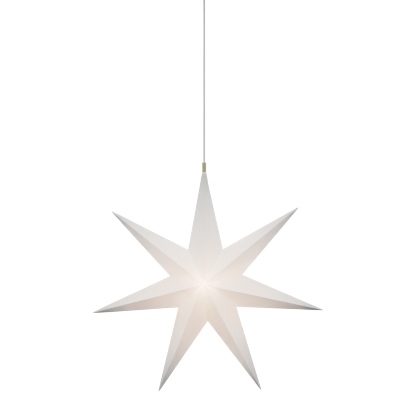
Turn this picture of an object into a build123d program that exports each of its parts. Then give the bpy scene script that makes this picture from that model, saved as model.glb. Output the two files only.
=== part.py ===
from build123d import *
import math
import os

os.makedirs("parts", exist_ok=True)

# ---------------------------------------------------------------- dimensions, mm
# Row frame: origin on the ceiling plane at the middle of the bracket, +Z up,
# the star faces -Y.

# paper star
POINTS = 7
TIP_R = 375.0            # star centre to the sharp end of an arm
VALLEY_R = 117.2         # star centre to the inner corner between two arms
HALF_DEPTH = 115.0       # star centre to the front or back peak
PAPER_T = 0.5
TIP_CUT = 3.0            # the pressed tips end blunt
GLUE_GAP = 0.1           # glue line between two arms
FLAP_W = 14.0
FLAP_FROM = 16.0         # along the valley fold, from the peak
FLAP_TO = 156.0
FLAP_BEVEL = 12.0
LEAN_DEG = 1.24          # the star hangs a little askew on its neck

# seam closing dots
DOT_R = 5.5
DOT_T = 0.9
DOT_AT = (48.0, 112.0)   # along the valley fold, from the peak

# neck
SLEEVE_TOP = -562.0
SLEEVE_L = 30.0
SLEEVE_R = 6.1
SLEEVE_BORE_R = 4.85
SLEEVE_END_T = 2.0
SLEEVE_HOLE_R = 2.9
NECK_R = 4.6             # outside of the gathered paper neck
NECK_IN = 9.0            # length of paper inside the sleeve
NECK_FUNNEL = 14.0       # folded facets turn round over this length
STAR_BELOW_SLEEVE = 376.8

# cord
CORD_R = 2.5
CORD_BORE_R = 2.6
CORD_JOIN_Z = -585.0     # inside the neck core
FLEX_R = 2.2

# ceiling fitting
CUP_R = 48.0
CUP_H = 26.0
CUP_T = 1.2
GRIP_R = 6.5
GRIP_L = 18.0
GRIP_STUB_R = 4.95
GRIP_STUB_TOP = -14.5
SWING_Z = -(CUP_H + GRIP_L)
BRACKET_L = 86.0
BRACKET_W = 18.0
BRACKET_T = 1.5
BRACKET_LEG = 14.0
SLOT_AT = 26.0
SLOT_L = 14.0
SLOT_W = 5.0
SIDE_SCREW_Z = -9.0

# lampholder and bulb, heights above the star centre
THREAD_PITCH = 2.82
THREAD_R = 6.5
THREAD_AMP = 0.4
THREAD_FROM = 35.0
THREAD_TO = 35.0 + 5 * THREAD_PITCH
GLOBE_R = 22.5
GLASS_T = 0.8

# ---------------------------------------------------------------- helpers


def keep(shape, name):
    export_step(shape, f"parts/{name}.step")


def turned(outline, at=(0, 0, 0)):
    face = Plane.XZ * make_face(Polyline(*outline, close=True))
    return Pos(*at) * revolve(face, Axis.Z)


def rod(r, z0, z1, x=0.0, y=0.0):
    return Pos(x, y, (z0 + z1) / 2) * Cylinder(r, abs(z1 - z0))


def tube(r, hole, z0, z1, x=0.0, y=0.0):
    return rod(r, z0, z1, x, y) - rod(hole, z0 - 1, z1 + 1, x, y)


def polyhedron(points, faces):
    made = [Face(Wire.make_polygon([points[i] for i in f], close=True)) for f in faces]
    solid = Solid(Shell(made))
    return solid if solid.volume > 0 else Solid(Shell([-m for m in made]))


def wire_run(r, points, start, end, tail):
    run = Spline(*points, tangents=[start, end])
    path = Wire([run.edge(), Edge.make_line(points[-1], tail)])
    return sweep(Plane(origin=points[0], z_dir=start) * Circle(r), path=path)


def wavy(r_shift, z0, z1, steps=6):
    n = int(round((z1 - z0) / THREAD_PITCH * steps))
    return [
        (THREAD_R + r_shift - THREAD_AMP * math.cos(2 * math.pi * i / steps), z0 + (z1 - z0) * i / n)
        for i in range(n + 1)
    ]


# ---------------------------------------------------------------- star frame

STAR_Z = SLEEVE_TOP - STAR_BELOW_SLEEVE
SLEEVE_BOTTOM = SLEEVE_TOP - SLEEVE_L
LEAN = math.radians(LEAN_DEG)
STAR_X = (SLEEVE_BOTTOM - STAR_Z) * math.tan(LEAN)
NECK_AXIAL = (SLEEVE_BOTTOM - STAR_Z) / math.cos(LEAN)   # star centre to sleeve mouth
HALF = math.pi / POINTS
SIDE_SLOPE = VALLEY_R * math.sin(HALF) / (TIP_R - VALLEY_R * math.cos(HALF))
RIDGE_SLOPE = HALF_DEPTH / TIP_R
FOLD_L = math.hypot(VALLEY_R, HALF_DEPTH)


def arm_plane(k):
    """Arm axis along local x, side along local y, front along local z."""
    a = math.pi / 2 - 2 * math.pi * k / POINTS + LEAN
    return Plane(
        origin=(STAR_X, 0, STAR_Z),
        x_dir=(math.cos(a), 0, math.sin(a)),
        z_dir=(0, -1, 0),
    )


# distance along the axis that moves a facet plane inwards by the paper thickness
_e1 = Vector(VALLEY_R * math.cos(HALF) - TIP_R, VALLEY_R * math.sin(HALF), 0)
_e2 = Vector(-TIP_R, 0, HALF_DEPTH)
_n = _e1.cross(_e2).normalized()
WALL_SHIFT = PAPER_T / abs(_n.X)
# how far a flap lifted off the valley plane reaches out to meet its facet
_in = Vector(-HALF_DEPTH * math.cos(HALF), -HALF_DEPTH * math.sin(HALF), -VALLEY_R) / FOLD_L
_lift = Vector(math.sin(HALF), -math.cos(HALF), 0)
LIFT_OUT = abs(_n.dot(_lift) / _n.dot(_in))


def arm_shell(tip_at):
    """Folded four-facet pyramid, open towards the star centre."""
    a0 = GLUE_GAP / 2 / math.sin(HALF)
    av = (TIP_R * SIDE_SLOPE + a0 * math.tan(HALF)) / (math.tan(HALF) + SIDE_SLOPE)
    bv = (TIP_R - av) * SIDE_SLOPE
    hc = (TIP_R - a0) * RIDGE_SLOPE
    outer = polyhedron(
        [(TIP_R, 0, 0), (a0, 0, hc), (a0, 0, -hc), (av, -bv, 0), (av, bv, 0)],
        [(0, 1, 3), (0, 3, 2), (0, 2, 4), (0, 4, 1), (1, 2, 3), (2, 1, 4)],
    )
    far = -60.0
    reach = TIP_R - WALL_SHIFT - far
    b, c = reach * SIDE_SLOPE, reach * RIDGE_SLOPE
    inner = polyhedron(
        [(TIP_R - WALL_SHIFT, 0, 0), (far, 0, c), (far, -b, 0), (far, 0, -c), (far, b, 0)],
        [(0, 1, 2), (0, 2, 3), (0, 3, 4), (0, 4, 1), (1, 4, 3, 2)],
    )
    cut = Pos(tip_at + 100, 0, 0) * Box(200, 300, 300)
    return outer - inner - cut


def fold_point(side, face, along, inward):
    """Point on the valley plane: along the valley fold from the peak, then inwards."""
    r = (along * VALLEY_R - inward * HALF_DEPTH) / FOLD_L
    c = HALF_DEPTH - (along * HALF_DEPTH + inward * VALLEY_R) / FOLD_L
    return (r * math.cos(HALF), side * r * math.sin(HALF), face * c)


def flap(side, face, lift):
    """Glue flap folded inwards along one valley fold."""
    n = Vector(math.sin(HALF), -side * math.cos(HALF), 0)
    # a lifted flap starts further out, where it meets the facet
    out = -max(0.0, lift - GLUE_GAP / 2) * LIFT_OUT
    outline = [
        fold_point(side, face, FLAP_FROM, out),
        fold_point(side, face, FLAP_TO, out),
        fold_point(side, face, FLAP_TO - FLAP_BEVEL, FLAP_W),
        fold_point(side, face, FLAP_FROM + FLAP_BEVEL, FLAP_W),
    ]
    low = [tuple(Vector(*p) + n * lift) for p in outline]
    high = [tuple(Vector(*p) + n * (lift + PAPER_T)) for p in outline]
    m = len(low)
    faces = [tuple(range(m)), tuple(range(2 * m - 1, m - 1, -1))]
    faces += [(i, i + m, (i + 1) % m + m, (i + 1) % m) for i in range(m)]
    return polyhedron(low + high, faces)


def dots(side):
    """Closing dots on the flaps of the open seam, half the pair's thickness each."""
    n = Vector(math.sin(HALF), -side * math.cos(HALF), 0)
    found = []
    for face in (1, -1):
        for along in DOT_AT:
            p = Vector(*fold_point(side, face, along, FLAP_W / 2)) + n * (GLUE_GAP / 2)
            found.append(
                extrude(Plane(origin=tuple(p), z_dir=tuple(n)) * Circle(DOT_R), DOT_T)
            )
    return found


NAMES = [
    "arm_top",
    "arm_upper_right",
    "arm_right",
    "arm_lower_right",
    "arm_lower_left",
    "arm_left",
    "arm_upper_left",
]

for k, name in enumerate(NAMES):
    shell = arm_shell(TIP_R - TIP_CUT if k else NECK_AXIAL - NECK_FUNNEL)
    for side in (1, -1):
        # the open seam runs between the two lowest arms
        seam = (k == 3 and side == -1) or (k == 4 and side == 1)
        lift = GLUE_GAP / 2 + (DOT_T if seam else 0.0)
        for face in (1, -1):
            shell = shell + flap(side, face, lift)
    arm = arm_plane(k) * shell
    if k == 0:
        # the facets gather into a round neck that goes up into the sleeve
        at = NECK_AXIAL - NECK_FUNNEL
        p0 = arm_plane(0)

        def funnel(shift, r):
            reach = TIP_R - shift - at
            b, c = reach * SIDE_SLOPE, reach * RIDGE_SLOPE
            corner = [
                p0.from_local_coords(Vector(at, -b, 0)),
                p0.from_local_coords(Vector(at, 0, c)),
                p0.from_local_coords(Vector(at, b, 0)),
                p0.from_local_coords(Vector(at, 0, -c)),
            ]
            low = Wire.make_polygon([tuple(v) for v in corner], close=True)
            # the same four corners in turn on the round end: +X, -Y, -X, +Y
            z = SLEEVE_BOTTOM
            q = [(r, 0), (0, -r), (-r, 0), (0, r)]
            d = r / math.sqrt(2)
            mid = [(d, -d), (-d, -d), (-d, d), (d, d)]
            arcs = [
                Edge.make_three_point_arc(
                    (*q[i], z), (*mid[i], z), (*q[(i + 1) % 4], z)
                )
                for i in range(4)
            ]
            return Solid.make_loft([low, Wire(arcs)], ruled=True)

        neck = funnel(0.0, NECK_R) - funnel(WALL_SHIFT, NECK_R - PAPER_T)
        collar = tube(NECK_R, NECK_R - PAPER_T, SLEEVE_BOTTOM, SLEEVE_BOTTOM + NECK_IN)
        arm = arm + neck + collar
    keep(arm, name)

keep(Compound(children=[arm_plane(3) * d for d in dots(-1)]), "seam_hook_dots")
keep(Compound(children=[arm_plane(4) * d for d in dots(1)]), "seam_loop_dots")

# ---------------------------------------------------------------- neck

sleeve = rod(SLEEVE_R, SLEEVE_BOTTOM, SLEEVE_TOP)
sleeve = fillet(sleeve.edges().filter_by(GeomType.CIRCLE).group_by(Axis.Z)[-1], 1.6)
sleeve = sleeve - rod(SLEEVE_BORE_R, SLEEVE_BOTTOM - 1, SLEEVE_TOP - SLEEVE_END_T)
sleeve = sleeve - rod(SLEEVE_HOLE_R, SLEEVE_BOTTOM, SLEEVE_TOP + 1)
NECK_SCREW_Z = SLEEVE_TOP - 11.0
sleeve = sleeve - Pos(0, SLEEVE_R, NECK_SCREW_Z) * Rot(X=90) * Cylinder(1.5, 6)
keep(sleeve, "neck_sleeve")

grub = Pos(0, 5.45, NECK_SCREW_Z) * Rot(X=90) * Cylinder(1.5, 1.1)
grub = grub - Pos(0, 6.0, NECK_SCREW_Z) * Rot(X=90) * extrude(RegularPolygon(0.85, 6), 0.7, both=True)
keep(grub, "neck_screw")

core_bottom = SLEEVE_BOTTOM - 8.0
core = turned(
    [
        (CORD_BORE_R, core_bottom),
        (3.6, core_bottom),
        (4.0, SLEEVE_BOTTOM),
        (4.0, SLEEVE_BOTTOM + NECK_IN + 0.2),
        (NECK_R, SLEEVE_BOTTOM + NECK_IN + 0.2),
        (NECK_R, SLEEVE_TOP - SLEEVE_END_T - 2.6),
        (NECK_R - 0.6, SLEEVE_TOP - SLEEVE_END_T - 2.0),
        (CORD_BORE_R, SLEEVE_TOP - SLEEVE_END_T - 2.0),
    ]
)
keep(core, "neck_core")

stop = tube(4.4, CORD_R, core_bottom - 8.0, core_bottom)
stop = stop - Pos(0, 4.4, core_bottom - 4.0) * Rot(X=90) * Cylinder(1.0, 1.6)
keep(stop, "cord_stop")

# ---------------------------------------------------------------- cord

H = STAR_Z
# the cord bends in every direction just inside the grip's mouth
upper = rod(CORD_R, CORD_JOIN_Z, SWING_Z) - Pos(0, 0, SWING_Z) * Sphere(FLEX_R + 0.1)
keep(upper, "pendant_cord")
keep(Pos(0, 0, SWING_Z) * Sphere(FLEX_R), "cord_flex")
# inside the star the cord comes straight out of its stop, then leans over to the star's middle
lead = Wire(
    [
        Edge.make_line((0, 0, CORD_JOIN_Z - 0.2), (0, 0, core_bottom - 12.0)),
        Spline((0, 0, core_bottom - 12.0), (STAR_X, 0, H + 104.0), tangents=[(0, 0, -1), (0, 0, -1)]).edge(),
        Edge.make_line((STAR_X, 0, H + 104.0), (STAR_X, 0, H + 84.0)),
    ]
)
keep(sweep(Plane(origin=(0, 0, CORD_JOIN_Z - 0.2), z_dir=(0, 0, -1)) * Circle(CORD_R), path=lead), "lower_cord")
keep(rod(CORD_R, SWING_Z + CORD_R + 0.3, -13.1), "cord_head")

# ---------------------------------------------------------------- lampholder

# the lamp hangs in the middle of the star
LAMP = Pos(STAR_X, 0, 0)


def keep_lamp(shape, name):
    keep(LAMP * shape, name)


nipple = turned(
    [
        (CORD_BORE_R, H + 84.0),
        (4.9, H + 84.0),
        (4.9, H + 88.0),
        (6.6, H + 88.0),
        (6.6, H + 97.0),
        (5.2, H + 100.0),
        (CORD_BORE_R, H + 100.0),
    ]
)
nipple = nipple - Pos(0, 6.6, H + 93.0) * Rot(X=90) * Cylinder(1.25, 4.0)
keep_lamp(nipple, "holder_nipple")

cap = turned(
    [
        (12.7, H + 62.2),
        (14.5, H + 62.2),
        (14.5, H + 76.0),
        (13.6, H + 81.0),
        (11.0, H + 85.6),
        (7.4, H + 88.0),
        (4.95, H + 88.0),
        (4.95, H + 86.2),
        (7.0, H + 86.2),
        (9.9, H + 84.2),
        (12.0, H + 80.2),
        (12.7, H + 76.0),
    ]
)
keep_lamp(cap, "holder_cap")

skirt = turned(
    [
        (12.9, H + 30.0),
        (14.5, H + 30.0),
        (14.5, H + 62.0),
        (12.5, H + 62.0),
        (12.5, H + 68.0),
        (11.0, H + 68.0),
        (11.0, H + 60.2),
        (12.9, H + 60.2),
    ]
)
for i in range(24):
    # grip flutes around the skirt
    skirt = skirt - Rot(Z=15 * i) * Pos(15.1, 0, H + 46.0) * Cylinder(0.95, 26.0)
keep_lamp(skirt, "holder_skirt")

insert = rod(10.8, H + 58.0, H + 68.0) + rod(12.4, H + 68.0, H + 70.5)
for x in (-6.0, 6.0):
    insert = insert - rod(1.6, H + 66.0, H + 71.0, x)
    insert = insert + tube(3.0, 1.6, H + 70.5, H + 73.0, x)
    insert = insert - rod(1.05, H + 69.0, H + 74.0, x, 5.5)
keep_lamp(insert, "holder_insert")

thread_in = wavy(0.3, THREAD_FROM, THREAD_TO)
thread_out = wavy(0.8, THREAD_FROM, THREAD_TO)
holder_thread = turned(
    [(r, H + z) for r, z in thread_in]
    + [(thread_in[-1][0], H + 57.9), (thread_out[-1][0], H + 57.9)]
    + [(r, H + z) for r, z in reversed(thread_out)]
)
keep_lamp(holder_thread, "holder_thread")

contact = rod(2.6, H + 56.6, H + 57.2) + rod(1.2, H + 57.2, H + 58.0)
contact = contact + Pos(2.0, 0, H + 57.6) * Box(4.0, 2.4, 0.8)
keep_lamp(contact, "holder_contact")

screws = []
for x in (-6.0, 6.0):
    s = rod(1.6, H + 66.2, H + 73.0, x) + rod(2.6, H + 73.0, H + 74.6, x)
    s = s - Pos(x, 0, H + 74.6) * Box(6.0, 0.7, 1.2)
    screws.append(LAMP * s)
keep(Compound(children=screws), "holder_screws")

for x, name in ((1.2, "holder_wire_live"), (-1.2, "holder_wire_neutral")):
    e = 6.0 if x > 0 else -6.0
    run = wire_run(
        1.0,
        [(x, 0, H + 83.9), (0.55 * e, 3.2, H + 79.0), (e, 5.5, H + 74.5)],
        (0, 0, -1),
        (0, 0, -1),
        (e, 5.5, H + 70.7),
    )
    keep_lamp(run, name)

# ---------------------------------------------------------------- bulb


def bulb_skin(r_neck, r_globe):
    top = r_globe * 0.8
    side = r_globe * 0.6
    with BuildPart() as made:
        with BuildSketch(Plane.XZ):
            with BuildLine():
                a = Line((0, 41.0), (r_neck, 41.0))
                b = Line(a @ 1, (r_neck, 31.5))
                c = Spline((r_neck, 31.5), (side, top), tangents=[(0, -1), (0.8, -0.6)])
                d = ThreePointArc(
                    (side, top), (r_globe, 0), (0, -r_globe)
                )
                Line(d @ 1, (0, 41.0))
            make_face()
        revolve(axis=Axis.Z)
    return made.part


glass = bulb_skin(5.6, GLOBE_R) - bulb_skin(5.6 - GLASS_T, GLOBE_R - GLASS_T)
# open at the top of the neck
glass = glass - Pos(0, 0, 50.5) * Cylinder(10.0, 20.0)
keep_lamp(Pos(0, 0, H) * glass, "bulb_glass")

shell_out = wavy(0.0, THREAD_FROM, THREAD_TO)
bulb_thread = turned(
    [(5.7, H + 32.0), (6.7, H + 32.0), (6.7, H + 33.6)]
    + [(r, H + z) for r, z in shell_out]
    + [(6.1, H + 51.0), (5.7, H + 51.0)]
)
keep_lamp(bulb_thread, "bulb_thread")

insulator = rod(5.65, H + 48.6, H + 51.0) + Pos(0, 0, H + 52.3) * Cone(4.6, 3.2, 2.6)
keep_lamp(insulator, "bulb_insulator")

tip = rod(2.5, H + 53.6, H + 56.4)
tip = fillet(tip.edges().filter_by(GeomType.CIRCLE).group_by(Axis.Z)[-1], 0.9)
keep_lamp(tip, "bulb_tip")

stem = turned(
    [
        (0, H + 2.0),
        (1.4, H + 3.0),
        (1.4, H + 20.0),
        (2.2, H + 24.0),
        (4.7, H + 38.0),
        (4.7, H + 40.0),
        (0, H + 40.0),
    ]
)
keep_lamp(stem, "bulb_stem")

filaments = []
for i in range(4):
    a = math.radians(45 + 90 * i)
    low = (7.5 * math.cos(a), 7.5 * math.sin(a), H - 13.0)
    high = (4.0 * math.cos(a), 4.0 * math.sin(a), H + 19.0)
    d = Vector(*high) - Vector(*low)
    filaments.append(
        LAMP * extrude(Plane(origin=low, z_dir=tuple(d)) * Circle(0.8), d.length)
    )
keep(Compound(children=filaments), "bulb_filaments")

# ---------------------------------------------------------------- ceiling fitting

bracket = Pos(0, 0, -BRACKET_T / 2) * Box(BRACKET_L, BRACKET_W, BRACKET_T)
for s in (-1, 1):
    bracket = bracket + Pos(s * (BRACKET_L - BRACKET_T) / 2, 0, -BRACKET_LEG / 2) * Box(
        BRACKET_T, BRACKET_W, BRACKET_LEG
    )
    bracket = bracket - Pos(s * SLOT_AT, 0, -BRACKET_T / 2) * extrude(
        SlotOverall(SLOT_L, SLOT_W), BRACKET_T, both=True
    )
    bracket = bracket - Pos(s * BRACKET_L / 2, 0, SIDE_SCREW_Z) * Rot(Y=90) * Cylinder(2.0, 8.0)
keep(bracket, "ceiling_bracket")

cup = rod(CUP_R, -CUP_H, 0)
cup = fillet(cup.edges().filter_by(GeomType.CIRCLE).group_by(Axis.Z)[0], 4.0)
hollow = rod(CUP_R - CUP_T, -CUP_H + CUP_T, 5.0)
hollow = fillet(hollow.edges().filter_by(GeomType.CIRCLE).group_by(Axis.Z)[0], 2.8)
cup = cup - hollow - rod(5.05, -CUP_H - 1, 0)
for s in (-1, 1):
    cup = cup - Pos(s * CUP_R, 0, SIDE_SCREW_Z) * Rot(Y=90) * Cylinder(2.1, 8.0)
keep(cup, "canopy_cup")

side_screws = []
for s in (-1, 1):
    shank = Pos(s * 44.3, 0, SIDE_SCREW_Z) * Rot(Y=90) * Cylinder(2.0, 7.5)
    head = Pos(s * 49.25, 0, SIDE_SCREW_Z) * Rot(Y=90) * Cylinder(3.6, 2.4)
    head = fillet(head.edges().filter_by(GeomType.CIRCLE).group_by(Axis.X)[-1 if s > 0 else 0], 0.6)
    head = head - Pos(s * 50.45, 0, SIDE_SCREW_Z) * Box(1.6, 0.9, 8.0)
    side_screws.append(shank + head)
keep(Compound(children=side_screws), "canopy_screws")

grip = turned(
    [
        (CORD_BORE_R, GRIP_STUB_TOP),
        (CORD_BORE_R, SWING_Z + 3.2),
        (2.9, SWING_Z + 1.6),
        (3.9, SWING_Z),
        (GRIP_R - 1.8, SWING_Z),
        (GRIP_R - 0.5, SWING_Z + 1.2),
        (GRIP_R, SWING_Z + 4.0),
        (GRIP_R, -CUP_H),
        (GRIP_STUB_R, -CUP_H),
        (GRIP_STUB_R, GRIP_STUB_TOP),
    ]
)
GRIP_SCREW_Z = SWING_Z + 9.0
grip = grip - Pos(0, 5.0, GRIP_SCREW_Z) * Rot(X=90) * Cylinder(1.5, 5.2)
keep(grip, "grip_body")

nut = Pos(0, 0, -CUP_H + CUP_T) * (
    extrude(RegularPolygon(7.0, 6, major_radius=False), 4.0) - Pos(0, 0, 2) * Cylinder(GRIP_STUB_R, 6.0)
)
keep(nut, "grip_nut")

grip_screw = Pos(0, 4.45, GRIP_SCREW_Z) * Rot(X=90) * Cylinder(1.5, 3.8)
grip_screw = grip_screw - Pos(0, 6.35, GRIP_SCREW_Z) * Box(3.4, 1.4, 0.6)
keep(grip_screw, "grip_screw")

BLOCK_Y0, BLOCK_Y1 = 16.0, 34.0
BLOCK_Z0 = -CUP_H + CUP_T
BLOCK_Z1 = BLOCK_Z0 + 13.0
WIRE_Z = -18.3
block = Pos(0, (BLOCK_Y0 + BLOCK_Y1) / 2, (BLOCK_Z0 + BLOCK_Z1) / 2) * Box(
    22.0, BLOCK_Y1 - BLOCK_Y0, BLOCK_Z1 - BLOCK_Z0
)
block = chamfer(block.edges().filter_by(Axis.Z), 1.2)
block_screws = []
for x in (-5.0, 5.0):
    for y0, y in ((BLOCK_Y0, 20.0), (BLOCK_Y1, 30.0)):
        block = block - Pos(x, y0, WIRE_Z) * Rot(X=90) * Cylinder(1.6, 15.0)
        block = block - rod(2.0, -15.6, 0, x, y)
        s = rod(2.0, -15.6, -13.0, x, y) - Pos(x, y, -13.0) * Box(6.0, 0.6, 1.4)
        block_screws.append(s)
keep(block, "terminal_block")
keep(Compound(children=block_screws), "terminal_screws")

for x, name in ((1.2, "canopy_wire_live"), (-1.2, "canopy_wire_neutral")):
    e = 5.0 if x > 0 else -5.0
    run = wire_run(
        1.05,
        [(x, 0, -13.0), (0.6 * e, 5.2, -8.6), (e, 12.0, -WIRE_Z * -1)],
        (0, 0, 1),
        (0, 1, 0),
        (e, 21.0, WIRE_Z),
    )
    keep(run, name)
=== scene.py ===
"""Looks of the paper star pendant: folded paper arms, braided cord, finishes, light and camera."""

import math

import bmesh
import bpy
import numpy as np
from mathutils import Matrix, Vector, noise


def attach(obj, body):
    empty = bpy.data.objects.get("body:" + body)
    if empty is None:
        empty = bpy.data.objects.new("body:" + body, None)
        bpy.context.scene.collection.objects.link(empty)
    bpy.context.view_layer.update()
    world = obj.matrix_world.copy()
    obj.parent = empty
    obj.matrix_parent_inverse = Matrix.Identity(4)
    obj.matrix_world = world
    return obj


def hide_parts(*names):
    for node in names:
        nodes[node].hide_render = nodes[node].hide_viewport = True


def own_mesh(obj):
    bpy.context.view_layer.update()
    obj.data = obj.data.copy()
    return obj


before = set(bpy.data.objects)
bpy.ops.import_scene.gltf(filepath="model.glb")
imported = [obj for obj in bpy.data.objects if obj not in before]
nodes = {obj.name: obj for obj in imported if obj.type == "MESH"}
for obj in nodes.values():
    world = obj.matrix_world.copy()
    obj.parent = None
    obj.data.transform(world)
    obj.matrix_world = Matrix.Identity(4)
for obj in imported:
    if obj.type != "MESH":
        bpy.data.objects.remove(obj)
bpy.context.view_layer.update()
scene = bpy.context.scene

# ---------------------------------------------------------------- dimensions, mm

POINTS = 7
TIP_R = 375.0
VALLEY_R = 117.2
HALF_DEPTH = 115.0
PAPER_T = 0.5
FLAP_W = 14.0
FLAP_FROM = 16.0
FLAP_TO = 156.0
FLAP_BEVEL = 12.0
DOT_T = 0.9
LEAN = math.radians(1.24)
SLEEVE_BOTTOM = -592.0
NECK_R = 4.6
NECK_IN = 9.0
NECK_FUNNEL = 45.0
NECK_TOP_R = 6.2          # the gathered card just under the sleeve
STAR_Z = -938.8
STAR_X = (SLEEVE_BOTTOM - STAR_Z) * math.tan(LEAN)
NECK_AXIAL = (SLEEVE_BOTTOM - STAR_Z) / math.cos(LEAN)
SWING_Z = -44.0
CORD_R = 2.5
CORD_END_Z = -584.6

HALF = math.pi / POINTS
COS_H, SIN_H = math.cos(HALF), math.sin(HALF)
SIDE = VALLEY_R * SIN_H / (TIP_R - VALLEY_R * COS_H)
RIDGE = HALF_DEPTH / TIP_R
FOLD_L = math.hypot(VALLEY_R, HALF_DEPTH)
_n = np.cross(
    [VALLEY_R * COS_H - TIP_R, VALLEY_R * SIN_H, 0.0], [-TIP_R, 0.0, HALF_DEPTH]
)
_n = _n / np.linalg.norm(_n)
WALL_SHIFT = PAPER_T / abs(_n[0])
CENTRE = np.array([STAR_X, 0.0, STAR_Z])

# ---------------------------------------------------------------- camera

CAM_AZ = math.radians(4.5)
CAM_DIST = 7.0
right = Vector((math.cos(CAM_AZ), math.sin(CAM_AZ), 0))
ahead = Vector((-math.sin(CAM_AZ), math.cos(CAM_AZ), 0))
target = Vector((0, 0, -0.7038)) + right * 0.01184
cam_data = bpy.data.cameras.new("camera")
cam_data.sensor_width = 36.0
cam_data.lens = 36.0 * CAM_DIST / 1.2967
cam_data.clip_start = 0.1
cam_data.clip_end = 100.0
cam = bpy.data.objects.new("camera", cam_data)
scene.collection.objects.link(cam)
cam.location = target - ahead * CAM_DIST
cam.rotation_mode = "QUATERNION"
cam.rotation_quaternion = ahead.to_track_quat("-Z", "Y")
scene.camera = cam

# ---------------------------------------------------------------- shader helpers


class Mat:
    """A material with small helpers that add and link nodes."""

    def __init__(self, name):
        self.mat = bpy.data.materials.new(name)
        self.mat.use_nodes = True
        self.tree = self.mat.node_tree
        self.tree.nodes.clear()
        self.out = self.add("ShaderNodeOutputMaterial")

    def add(self, kind, **values):
        node = self.tree.nodes.new(kind)
        for key, value in values.items():
            setattr(node, key, value)
        return node

    def link(self, a, b):
        self.tree.links.new(a, b)

    def set(self, socket, value):
        if isinstance(value, bpy.types.NodeSocket):
            self.link(value, socket)
        else:
            socket.default_value = value

    def coords(self):
        return self.add("ShaderNodeTexCoord").outputs["Object"]

    def scaled(self, vector, scale):
        node = self.add("ShaderNodeMapping")
        self.link(vector, node.inputs["Vector"])
        node.inputs["Scale"].default_value = scale
        return node.outputs["Vector"]

    def noise(self, vector, scale, detail=2.0, rough=0.5, distortion=0.0):
        node = self.add("ShaderNodeTexNoise")
        self.link(vector, node.inputs["Vector"])
        node.inputs["Scale"].default_value = scale
        node.inputs["Detail"].default_value = detail
        node.inputs["Roughness"].default_value = rough
        node.inputs["Distortion"].default_value = distortion
        return node.outputs["Fac"]

    def voronoi(self, vector, scale, feature="F1", output="Distance"):
        node = self.add("ShaderNodeTexVoronoi", feature=feature)
        self.link(vector, node.inputs["Vector"])
        node.inputs["Scale"].default_value = scale
        return node.outputs[output]

    def math(self, operation, a, b=None, c=None, clamp=False):
        node = self.add("ShaderNodeMath", operation=operation)
        node.use_clamp = clamp
        for socket, value in zip(node.inputs, (a, b, c)):
            if value is not None:
                self.set(socket, value)
        return node.outputs[0]

    def span(self, value, low, high, to_low, to_high, smooth=False):
        node = self.add("ShaderNodeMapRange")
        node.interpolation_type = "SMOOTHSTEP" if smooth else "LINEAR"
        self.set(node.inputs["Value"], value)
        node.inputs["From Min"].default_value = low
        node.inputs["From Max"].default_value = high
        node.inputs["To Min"].default_value = to_low
        node.inputs["To Max"].default_value = to_high
        return node.outputs["Result"]

    def ramp(self, value, *stops):
        node = self.add("ShaderNodeValToRGB")
        self.link(value, node.inputs["Fac"])
        elements = node.color_ramp.elements
        while len(elements) < len(stops):
            elements.new(0.5)
        for element, (at, colour) in zip(elements, stops):
            element.position = at
            element.color = (*colour, 1.0)
        return node.outputs["Color"]

    def mix(self, fac, a, b, blend="MIX"):
        node = self.add("ShaderNodeMix", data_type="RGBA", blend_type=blend)
        self.set(node.inputs["Factor"], fac)
        colour_in = [s for s in node.inputs if s.type == "RGBA"]
        self.set(colour_in[0], a)
        self.set(colour_in[1], b)
        return [s for s in node.outputs if s.type == "RGBA"][0]

    def bump(self, height, strength, distance, normal=None):
        node = self.add("ShaderNodeBump")
        node.inputs["Strength"].default_value = strength
        node.inputs["Distance"].default_value = distance
        self.link(height, node.inputs["Height"])
        if normal is not None:
            self.link(normal, node.inputs["Normal"])
        return node.outputs["Normal"]

    def principled(self, **values):
        node = self.add("ShaderNodeBsdfPrincipled")
        for key, value in values.items():
            self.set(node.inputs[key.replace("_", " ")], value)
        return node

    def finish(self, shader):
        self.link(shader, self.out.inputs["Surface"])
        return self.mat


# ---------------------------------------------------------------- materials


TIP_LAYERS = (10.0, 105.0)   # mm from the point over which the glued layers thin out to a single one, and over which the painted shade at the points fades
GLOW_SHARE = 0.285           # light that the card lets through in front of the bulb, beside the rest
GLOW_R = 29.0                # mm from the star's middle over which that fades


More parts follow.
